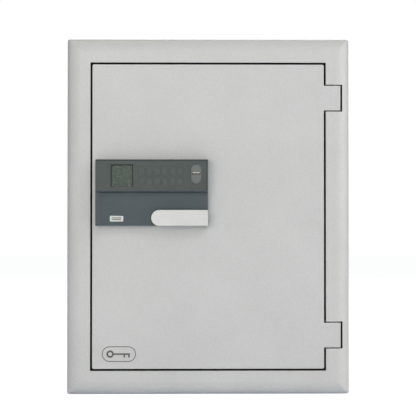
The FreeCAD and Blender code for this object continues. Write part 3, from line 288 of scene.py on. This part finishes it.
def zinc_plate(name):
    """Bright zinc: small crystals, a slight yellow and blue play, dull patches."""
    made = Recipe(name, metallic=1.0)
    crystals = made.flakes(2.4 * MM)
    play = made.noise(22 * MM, detail=2.0)
    tint = made.colours(made.spread(play, 0.0, 1.0), (0.60, 0.60, 0.53), (0.56, 0.59, 0.64))
    made.paint(made.colours(made.spread(crystals, 0.0, 0.35, 0.0, 1.0), tint, (0.72, 0.72, 0.70)))
    made.rough(made.spread(crystals, 0.30, 0.46, 0.0, 1.0))
    made.bump(made.noise(0.7 * MM, detail=4.0), 0.01 * MM)
    return made


def mineral_board(name):
    """Cast light filler: pale and chalky, with pores and darker grit."""
    made = Recipe(name, specular=0.15)
    grit = made.noise(1.6 * MM, detail=6.0)
    pores = made.spread(made.cells(4.5 * MM), 0.0, 1.0, 0.08, 0.26)
    body = made.colours(made.spread(grit, 0.0, 1.0), (0.40, 0.385, 0.35), (0.60, 0.585, 0.55))
    made.paint(made.colours(pores, (0.25, 0.235, 0.21), body))
    made.rough(made.spread(grit, 0.86, 0.98))
    made.bump(made.combine("ADD", pores, grit), 0.5 * MM)
    return made


def rubber(name, dark, light, grain):
    """Dull rubber with a bloom of dust and a fine skin."""
    made = Recipe(name, specular=0.3)
    bloom = made.noise(7 * MM, detail=5.0)
    made.paint(made.colours(made.spread(bloom, 0.0, 1.0), dark, light))
    made.rough(made.spread(bloom, 0.68, 0.88))
    made.bump(made.noise(grain, detail=4.0), 0.04 * MM)
    return made


def display_glass(name):
    """A thin clear pane with finger smears."""
    made = Recipe(name, specular=0.5)
    smear = made.noise(9 * MM, stretch=(1.0, 1.0, 0.5), detail=4.0)
    made.paint(made.colours(made.spread(smear, 0.0, 1.0), (0.10, 0.13, 0.11), (0.14, 0.17, 0.15)))
    made.rough(made.spread(smear, 0.05, 0.16))
    made.bump(made.noise(30 * MM, detail=1.0), 0.01 * MM)
    made.shader.inputs["Alpha"].default_value = 0.07
    return made


def liquid_crystal(name):
    """A switched-off display: grey-green, with the faint grid of its dots."""
    made = Recipe(name, specular=0.2)
    dots = made.combine("MULTIPLY", made.stripes(0.75 * MM, "X"), made.stripes(0.75 * MM, "Z"))
    cloud = made.noise(16 * MM, detail=2.0)
    both = made.combine("ADD", made.spread(dots, 0.0, 0.4, 0.0, 1.0), made.spread(cloud, 0.0, 0.6))
    made.paint(made.colours(both, (0.044, 0.068, 0.052), (0.055, 0.083, 0.064)))
    made.rough(made.spread(cloud, 0.30, 0.42))
    made.bump(dots, 0.01 * MM)
    return made


def sensor_window(name):
    """The finger sensor's dark strip, crossed by its fine scan lines."""
    made = Recipe(name, specular=0.5)
    lines = made.stripes(0.5 * MM, "X")
    tone = made.noise(3 * MM, detail=3.0)
    both = made.combine("ADD", made.spread(lines, 0.0, 0.4, 0.0, 1.0), made.spread(tone, 0.0, 0.6))
    made.paint(made.colours(both, (0.018, 0.008, 0.008), (0.045, 0.018, 0.018)))
    made.rough(made.spread(tone, 0.16, 0.28))
    made.bump(lines, 0.008 * MM)
    return made


def circuit_board(name):
    """Solder mask over copper tracks."""
    made = Recipe(name, specular=0.5)
    across = made.spread(made.stripes(2.5 * MM, "X"), 0.0, 1.0, 0.82, 0.86)
    upward = made.spread(made.stripes(3.4 * MM, "Z"), 0.0, 1.0, 0.86, 0.9)
    region = made.spread(made.noise(13 * MM, detail=0.0), 0.0, 1.0, 0.49, 0.51)
    tracks = made.combine("MULTIPLY", made.combine("MAXIMUM", across, upward), region)
    tone = made.noise(5 * MM, detail=4.0)
    mask = made.colours(made.spread(tone, 0.0, 1.0), (0.008, 0.048, 0.018), (0.012, 0.07, 0.026))
    made.paint(made.colours(tracks, mask, (0.03, 0.16, 0.05)))
    made.rough(made.spread(tone, 0.24, 0.36))
    made.bump(tracks, 0.035 * MM)
    return made


def battery_sleeve(name):
    """Shrink wrap: a dark blue body with a pale band round one end, and fine wrinkles."""
    made = Recipe(name, specular=0.5)
    low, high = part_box("batteries")
    turn = low.z + 0.70 * (high.z - low.z)
    band = made.spread(made.along("Z"), 0.0, 1.0, turn, turn + 0.3 * MM)
    wrinkle = made.noise(2.0 * MM, stretch=(1.0, 1.0, 0.25), detail=4.0)
    shown = made.spread(wrinkle, 0.0, 1.0)
    body = made.colours(shown, (0.018, 0.05, 0.12), (0.026, 0.07, 0.16))
    ring = made.colours(shown, (0.42, 0.41, 0.39), (0.52, 0.51, 0.49))
    made.paint(made.colours(band, body, ring))
    made.rough(made.spread(wrinkle, 0.26, 0.42))
    made.bump(wrinkle, 0.03 * MM)
    return made


def printed_ink(name, dark, light):
    """Screen print: slightly uneven, a little rougher than what it is printed on."""
    made = Recipe(name, specular=0.35)
    cover = made.noise(1.1 * MM, detail=5.0)
    made.paint(made.colours(made.spread(cover, 0.0, 1.0), dark, light))
    made.rough(made.spread(cover, 0.48, 0.64))
    made.bump(cover, 0.012 * MM)
    return made


def make_materials():
    """One material for each slot of the record, by the slot's name."""
    made = [
        powder_coat("cabinet_paint", (0.588, 0.583, 0.588)),
        powder_coat("back_paint", (0.560, 0.565, 0.560), 0.52),
        powder_coat("interior_paint", (0.530, 0.535, 0.530), 0.55),
        powder_coat("door_paint", (0.584, 0.579, 0.588)),
        zinc_plate("plated_steel"),
        # black, which also paints the shade in the ear pockets and the gaps by the hinge ears
        moulded_plastic("hinge_black", (0.012, 0.012, 0.012), 0.55, 0.7 * MM, 0.02 * MM),
        worked_metal("ground_steel", (0.46, 0.46, 0.46), (0.62, 0.62, 0.62), 0.26, (1, 1, 14), 0.006 * MM),
        worked_metal("bronze", (0.36, 0.22, 0.09), (0.60, 0.41, 0.18), 0.34, (8, 1, 1), 0.01 * MM),
        mineral_board("mineral_filler"),
        rubber("seal_rubber", (0.010, 0.010, 0.010), (0.024, 0.024, 0.023), 0.6 * MM),
        # also finishes the black strip that paints the shade in the door's gap
        rubber("fire_strip", (0.022, 0.021, 0.021), (0.050, 0.048, 0.048), 1.4 * MM),
        moulded_plastic("unit_plastic", (0.061, 0.081, 0.095), 0.56, 0.5 * MM, 0.03 * MM),
        moulded_plastic("fascia_plastic", (0.060, 0.073, 0.072), 0.54, 0.8 * MM, 0.006 * MM),
        moulded_plastic("key_plastic", (0.061, 0.074, 0.073), 0.52, 0.8 * MM, 0.006 * MM),
        display_glass("display_glass"),
        liquid_crystal("display_face"),
        moulded_plastic("sensor_trim", (0.125, 0.140, 0.138), 0.44, 0.6 * MM, 0.006 * MM),
        sensor_window("sensor_face"),
        circuit_board("board_green"),
        worked_metal("badge_metal", (0.34, 0.34, 0.33), (0.45, 0.45, 0.44), 0.40, (1, 1, 20), 0.004 * MM),
        moulded_plastic("lever_paint", (0.645, 0.638, 0.638), 0.34, 1.2 * MM, 0.01 * MM),
        printed_ink("emblem_print", (0.088, 0.088, 0.084), (0.125, 0.125, 0.120)),
        moulded_plastic("box_plastic", (0.008, 0.008, 0.0085), 0.52, 0.7 * MM, 0.04 * MM),
        battery_sleeve("battery_wrap"),
        printed_ink("key_marks", (0.094, 0.106, 0.104), (0.112, 0.124, 0.122)),
        # the display's border: print that also paints the shade in the window's recess
        printed_ink("mask_black", (0.020, 0.024, 0.024), (0.034, 0.039, 0.038)),
        printed_ink("sensor_bar_light", (0.62, 0.59, 0.57), (0.72, 0.69, 0.67)),
        printed_ink("badge_rules", (0.150, 0.150, 0.145), (0.200, 0.200, 0.194)),
    ]
    return {recipe.name: recipe.material for recipe in made}


def dress_frame(materials):
    """Puts the new materials on the CAD nodes in place of the plain ones of the same names."""
    plain = set()
    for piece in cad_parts.values():
        for holder in piece.material_slots:
            plain.add(holder.material)
            holder.material = materials[holder.material.name]
    for material in plain:
        bpy.data.materials.remove(material)
    for name, material in materials.items():
        material.name = name


# Pieces

def add_piece(name, points, faces, material, body):
    """A mesh that rides on a CAD body and takes its finish from a slot of the record."""
    mesh = bpy.data.meshes.new(name)
    mesh.from_pydata(points, [], faces)
    mesh.update()
    piece = bpy.data.objects.new(name, mesh)
    piece.data.materials.append(material)
    bpy.context.scene.collection.objects.link(piece)
    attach(piece, body)
    return piece


def line_sides(path, width):
    """The two sides of a line of the given width through points (x, z)."""
    sides = []
    for i, (x, z) in enumerate(path):
        before = path[max(i - 1, 0)]
        after = path[min(i + 1, len(path) - 1)]
        towards = Vector((x, z)) - Vector(before)
        onward = Vector(after) - Vector((x, z))
        if towards.length == 0.0:
            towards = onward
        if onward.length == 0.0:
            onward = towards
        towards.normalize()
        onward.normalize()
        mean = (towards + onward).normalized()
        reach = width / 2.0 / max(SHARP_LIMIT, mean.dot(towards))
        across = Vector((-mean.y, mean.x)) * reach
        sides.append(((x + across.x, z + across.y), (x - across.x, z - across.y)))
    return sides


def ribbon(path, width, face, thick, first):
    """A flat raised line on a surface at y = face: its points, and its faces counted from first."""
    points = []
    for sides in line_sides(path, width):
        points += [(x, face - thick, z) for x, z in sides]
        points += [(x, face + SINK, z) for x, z in sides]
    last = first + 4 * (len(path) - 1)
    faces = []
    for a in range(first, last, 4):
        b = a + 4
        faces += [
            (a, a + 1, b + 1, b),
            (a + 2, b + 2, b + 3, a + 3),
            (a, b, b + 2, a + 2),
            (a + 1, a + 3, b + 3, b + 1),
        ]
    faces += [(first, first + 2, first + 3, first + 1), (last, last + 1, last + 3, last + 2)]
    return points, faces


def ribbons(name, paths, width, face, thick, material, body):
    """One piece made of several raised lines, each a list of points (x, z)."""
    points = []
    faces = []
    for path in paths:
        more_points, more_faces = ribbon(path, width, face, thick, len(points))
        points += more_points
        faces += more_faces
    add_piece(name, points, faces, material, body)


def arc(centre_x, centre_z, radius, start, end, steps):
    """Points (x, z) along an arc; angles are in degrees, anticlockwise from +X."""
    found = []
    for i in range(steps + 1):
        angle = math.radians(start + (end - start) * i / steps)
        found.append((centre_x + radius * math.cos(angle), centre_z + radius * math.sin(angle)))
    return found


def digit_piece(node, text, material):
    """A digit printed in the middle of its key."""
    low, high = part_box(node)
    curve = bpy.data.curves.new("print_" + node, "FONT")
    curve.body = text
    curve.size = DIGIT_HEIGHT / DIGIT_SHARE
    curve.align_x = "CENTER"
    curve.extrude = (INK + SINK) / 2.0
    writing = bpy.data.objects.new("writing_" + node, curve)
    bpy.context.scene.collection.objects.link(writing)
    bpy.context.view_layer.update()
    flat = bpy.data.meshes.new_from_object(writing.evaluated_get(bpy.context.evaluated_depsgraph_get()))
    bpy.data.objects.remove(writing)
    middle_x = (low.x + high.x) / 2.0
    base_z = (low.z + high.z) / 2.0 - DIGIT_HEIGHT / 2.0
    points = []
    for vertex in flat.vertices:
        depth = low.y - (INK - SINK) / 2.0 - vertex.co.z
        points.append((middle_x + vertex.co.x, depth, base_z + vertex.co.y))
    faces = [tuple(polygon.vertices) for polygon in flat.polygons]
    add_piece("print_" + node, points, faces, material, node)


def on_sign(material):
    """The usual sign for on: an open ring and a stroke."""
    low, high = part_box("key_on")
    x = (low.x + high.x) / 2.0
    z = (low.z + high.z) / 2.0
    ring = arc(x, z, SIGN_SIZE, *RING_ENDS, SIGN_STEPS)
    stroke = [(x, z + share * SIGN_SIZE) for share in STROKE_ENDS]
    ribbons("print_key_on", [ring, stroke], SIGN_LINE, low.y, INK, material, "key_on")


def enter_sign(material):
    """A bent arrow to the left."""
    low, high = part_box("key_enter")
    x = (low.x + high.x) / 2.0
    z = (low.z + high.z) / 2.0
    shaft, head = [
        [(x + share_x * SIGN_SIZE, z + share_z * SIGN_SIZE) for share_x, share_z in line]
        for line in (ARROW_SHAFT, ARROW_HEAD)
    ]
    ribbons("print_key_enter", [shaft, head], SIGN_LINE, low.y, INK, material, "key_enter")


def display_pane(material):
    """The display's clear window with ground edges, a little clear of the display behind it."""
    low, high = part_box("display_window")
    back = high.y - PANE_AIR
    corners = [(low.x, low.z), (high.x, low.z), (high.x, high.z), (low.x, high.z)]
    points = [(x, depth, z) for depth in (low.y, back) for x, z in corners]
    faces = [(0, 1, 2, 3), (7, 6, 5, 4)]
    faces += [(i, i + 4, (i + 1) % 4 + 4, (i + 1) % 4) for i in range(4)]
    pane = add_piece("display_pane", points, faces, material, "door")
    ground = pane.modifiers.new("ground_edges", "BEVEL")
    ground.width = PANE_EDGE
    ground.segments = PANE_EDGE_STEPS
    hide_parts("display_window")


def display_mask_and_shade(material):
    """The black border printed inside the display's window, open at the bottom: part print, part painted
    shade of the window's recess, whose top and sides lie in shade.
    """
    low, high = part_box("display_window")
    x0 = low.x + PANE_LAP + MASK_AND_SHADE_LINE / 2.0
    x1 = high.x - PANE_LAP - MASK_AND_SHADE_LINE / 2.0
    z0 = low.z + PANE_LAP
    z1 = high.z - PANE_LAP - MASK_AND_SHADE_LINE / 2.0
    path = [(x0, z0), (x0, z1), (x1, z1), (x1, z0)]
    ribbons("display_mask_and_shade", [path], MASK_AND_SHADE_LINE, low.y, INK, material, "door")


def sensor_bar(material):
    """The light guide bar along the upper edge of the finger sensor's slot."""
    low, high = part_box("fingerprint_sensor")
    z = high.z - SENSOR_LINE / 2.0
    path = [(low.x + SENSOR_LINE_INSET, z), ((low.x + high.x) / 2.0, z), (high.x - SENSOR_LINE_INSET, z)]
    ribbons("sensor_light_bar", [path], SENSOR_LINE, low.y, INK, material, "door")


def groove_shade_cord(material):
    """The black cord in the groove along the fascia's top and right edges: a dark strip that paints the
    groove's shade.
    """
    low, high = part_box("keypad_fascia")
    x = high.x + GROOVE / 2.0
    z = high.z + GROOVE / 2.0
    path = [(low.x, z), (x, z), (x, low.z)]
    face = low.y + GROOVE_DEPTH + GROOVE_BASE
    ribbons("fascia_groove_shade_cord", [path], GROOVE, face, GROOVE_BASE, material, "door")


def slab(x0, x1, y0, y1, z0, z1, first):
    """The eight corners of a flat strip, and its faces counted from first."""
    points = [(x, y, z) for z in (z0, z1) for y in (y0, y1) for x in (x0, x1)]
    sides = [(0, 2, 3, 1), (4, 5, 7, 6), (0, 1, 5, 4), (1, 3, 7, 5), (3, 2, 6, 7), (2, 0, 4, 6)]
    return points, [tuple(first + corner for corner in side) for side in sides]


def add_slabs(name, slabs, material, body):
    """One piece made of several flat strips."""
    points = []
    faces = []
    for limits in slabs:
        corners, sides = slab(*limits, len(points))
        points += corners
        faces += sides
    add_piece(name, points, faces, material, body)


def ear_spans():
    """The lower and the upper hinge ear, each as its lowest and highest z."""
    low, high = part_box("hinge_knuckles")
    lower = low.z - KNUCKLE_SHORT
    upper = high.z + KNUCKLE_SHORT
    return (lower, lower + EAR_HEIGHT), (upper - EAR_HEIGHT, upper)


def opening():
    """Half the width, the bottom and the top of the opening that the door closes into."""
    low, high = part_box("rebate_frame")
    return high.x - REBATE_SHEET, low.z + REBATE_SHEET, high.z - REBATE_SHEET


def rebate_shade_lining(material):
    """Black strip on the landing and on the walls that the door's edges pass, but for the ears: painted
    shade that darkens the door's gap, finished as fire strip.
    """
    x, z0, z1 = opening()
    cabinet_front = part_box("casing_sides")[0].y
    front = cabinet_front + LINING_FRONT
    landing = cabinet_front + LANDING_DEPTH
    back = landing - LINING - LINING_AIR
    flat = (landing - LINING, landing - LINING_AIR)
    width = LANDING_STRIP
    slabs = [
        (-x, LINING - x, front, back, z0, z1),
        (LINING - x, x, front, back, z0, z0 + LINING),
        (LINING - x, x, front, back, z1 - LINING, z1),
        (-x, x, *flat, z0, z0 + width),
        (-x, x, *flat, z1 - width, z1),
        (-x, width - x, *flat, z0 + width, z1 - width),
        (x - width, x, *flat, z0 + width, z1 - width),
    ]
    lower, upper = ear_spans()
    starts = (z0 + LINING, lower[1] + EAR_CLEAR, upper[1] + EAR_CLEAR)
    ends = (lower[0] - EAR_CLEAR, upper[0] - EAR_CLEAR, z1 - LINING)
    for start, end in zip(starts, ends):
        slabs.append((x - LINING, x, front, back, start, end))
    add_slabs("rebate_shade_lining", slabs, material, "cabinet")


def washer(x, y, z0, z1, first):
    """A flat ring round an upright axis: its points, and its faces counted from first."""
    rings = ((WASHER_INNER, z0), (WASHER_OUTER, z0), (WASHER_OUTER, z1), (WASHER_INNER, z1))
    points = []
    faces = []
    for ring, (radius, z) in enumerate(rings):
        here = first + ring * WASHER_STEPS
        there = first + (ring + 1) % len(rings) * WASHER_STEPS
        for step in range(WASHER_STEPS):
            angle = math.tau * step / WASHER_STEPS
            points.append((x + radius * math.cos(angle), y + radius * math.sin(angle), z))
            after = (step + 1) % WASHER_STEPS
            faces.append((here + step, here + after, there + after, there + step))
    return points, faces


def hinge_shade_washers(material):
    """A black washer round the hinge pin above and below each ear, which also paints the shade in the gap
    that it fills.
    """
    low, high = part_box("hinge_pins")
    x = (low.x + high.x) / 2.0
    y = (low.y + high.y) / 2.0
    points = []
    faces = []
    for ear_low, ear_high in ear_spans():
        for gap_low in (ear_low - EAR_GAP, ear_high):
            z0 = gap_low + WASHER_AIR
            z1 = gap_low + EAR_GAP - WASHER_AIR
            more_points, more_faces = washer(x, y, z0, z1, len(points))
            points += more_points
            faces += more_faces
    add_piece("hinge_shade_washers", points, faces, material, "cabinet")


def badge_rules(material):
    """Two plain rules on the badge, in place of lettering."""
    low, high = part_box("unit_badge")
    lines = []
    for share in BADGE_RULES:
        z = low.z + share * (high.z - low.z)
        lines.append([(low.x + BADGE_RULE_INSET, z), (high.x - BADGE_RULE_INSET, z)])
    ribbons("badge_rules", lines, BADGE_RULE_LINE, low.y, INK, material, "door")


def make_pieces(materials):
    """Everything that is shown but isn't part of the CAD model."""
    for digit in "0123456789":
        digit_piece("key_" + digit, digit, materials["key_marks"])
    on_sign(materials["key_marks"])
    enter_sign(materials["key_marks"])
    display_pane(materials["display_glass"])
    display_mask_and_shade(materials["mask_black"])
    sensor_bar(materials["sensor_bar_light"])
    badge_rules(materials["badge_rules"])
    groove_shade_cord(materials["seal_rubber"])
    rebate_shade_lining(materials["fire_strip"])
    hinge_shade_washers(materials["hinge_black"])


# Room, lights and camera

def make_floor():
    """A large pale floor that throws a cool light upwards; the camera sees it nearly white."""
    mesh = bpy.data.meshes.new("floor")
    half = FLOOR_SIDE / 2.0
    corners = [(-half, -half, 0.0), (half, -half, 0.0), (half, half, 0.0), (-half, half, 0.0)]
    mesh.from_pydata(corners, [], [(0, 1, 2, 3)])
    floor = bpy.data.objects.new("floor", mesh)
    bpy.context.scene.collection.objects.link(floor)
    pale = Recipe("floor_pale", specular=0.1)
    speck = pale.noise(60 * MM, detail=2.0)
    pale.paint(pale.colours(pale.spread(speck, 0.0, 1.0), shade(FLOOR_COLOUR, 0.99), FLOOR_COLOUR))
    pale.rough(pale.spread(speck, 0.8, 0.9))
    pale.shader.inputs["Emission Color"].default_value = (*GLOW_COLOUR, 1.0)
    pale.shader.inputs["Emission Strength"].default_value = FLOOR_GLOW
    white = pale.nodes.new("ShaderNodeEmission")
    white.inputs["Strength"].default_value = FLOOR_WHITE
    seen = pale.nodes.new("ShaderNodeLightPath")
    choice = pale.nodes.new("ShaderNodeMixShader")
    faded = pale.combine("MULTIPLY", seen.outputs["Is Camera Ray"], FLOOR_FADE)
    pale.links.new(faded, choice.inputs["Fac"])
    pale.links.new(pale.shader.outputs["BSDF"], choice.inputs[1])
    pale.links.new(white.outputs["Emission"], choice.inputs[2])
    pale.links.new(choice.outputs["Shader"], pale.nodes["Material Output"].inputs["Surface"])
    floor.data.materials.append(pale.material)


def make_sky():
    """Soft light from all round, and plain white where the camera sees past the floor."""
    world = bpy.data.worlds.new("sky")
    bpy.context.scene.world = world
    world.use_nodes = True
    nodes = world.node_tree.nodes
    links = world.node_tree.links
    soft = nodes["Background"]
    soft.inputs["Color"].default_value = (*SKY_COLOUR, 1.0)
    soft.inputs["Strength"].default_value = SKY_STRENGTH
    plain = nodes.new("ShaderNodeBackground")
    plain.inputs["Color"].default_value = (1.0, 1.0, 1.0, 1.0)
    seen = nodes.new("ShaderNodeLightPath")
    choice = nodes.new("ShaderNodeMixShader")
    links.new(seen.outputs["Is Camera Ray"], choice.inputs["Fac"])
    links.new(soft.outputs["Background"], choice.inputs[1])
    links.new(plain.outputs["Background"], choice.inputs[2])
    links.new(choice.outputs["Shader"], nodes["World Output"].inputs["Surface"])


def make_lights():
    """The area lights, each turned to the point that it faces."""
    for name, (place, aim, width, height, power, colour) in LIGHTS.items():
        data = bpy.data.lights.new(name, "AREA")
        data.shape = "RECTANGLE"
        data.size = width
        data.size_y = height
        data.energy = power
        data.color = colour
        light = bpy.data.objects.new(name, data)
        light.location = place
        light.rotation_mode = "QUATERNION"
        light.rotation_quaternion = (Vector(aim) - Vector(place)).to_track_quat("-Z", "Y")
        bpy.context.scene.collection.objects.link(light)


def make_camera():
    """Square to the door, turned slightly up and right, and shifted back so that the door is centred."""
    data = bpy.data.cameras.new("camera")
    data.sensor_width = SENSOR_WIDTH
    data.lens = SENSOR_WIDTH * VIEW_DISTANCE / VIEW_WIDTH
    data.shift_x = -VIEW_DISTANCE * math.tan(YAW_RIGHT) / VIEW_WIDTH
    data.shift_y = -VIEW_DISTANCE * math.tan(PITCH_UP) / VIEW_WIDTH
    camera = bpy.data.objects.new("camera", data)
    door_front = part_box("door_leaf")[0].y
    camera.location = (VIEW_CENTRE_X, door_front - VIEW_DISTANCE, VIEW_CENTRE_Z)
    camera.rotation_euler = (math.pi / 2.0 + PITCH_UP, 0.0, -YAW_RIGHT)
    bpy.context.scene.collection.objects.link(camera)
    bpy.context.scene.camera = camera


materials = make_materials()
dress_frame(materials)
make_pieces(materials)
make_floor()
make_sky()
make_lights()
make_camera()
bpy.context.scene.view_settings.view_transform = "Standard"
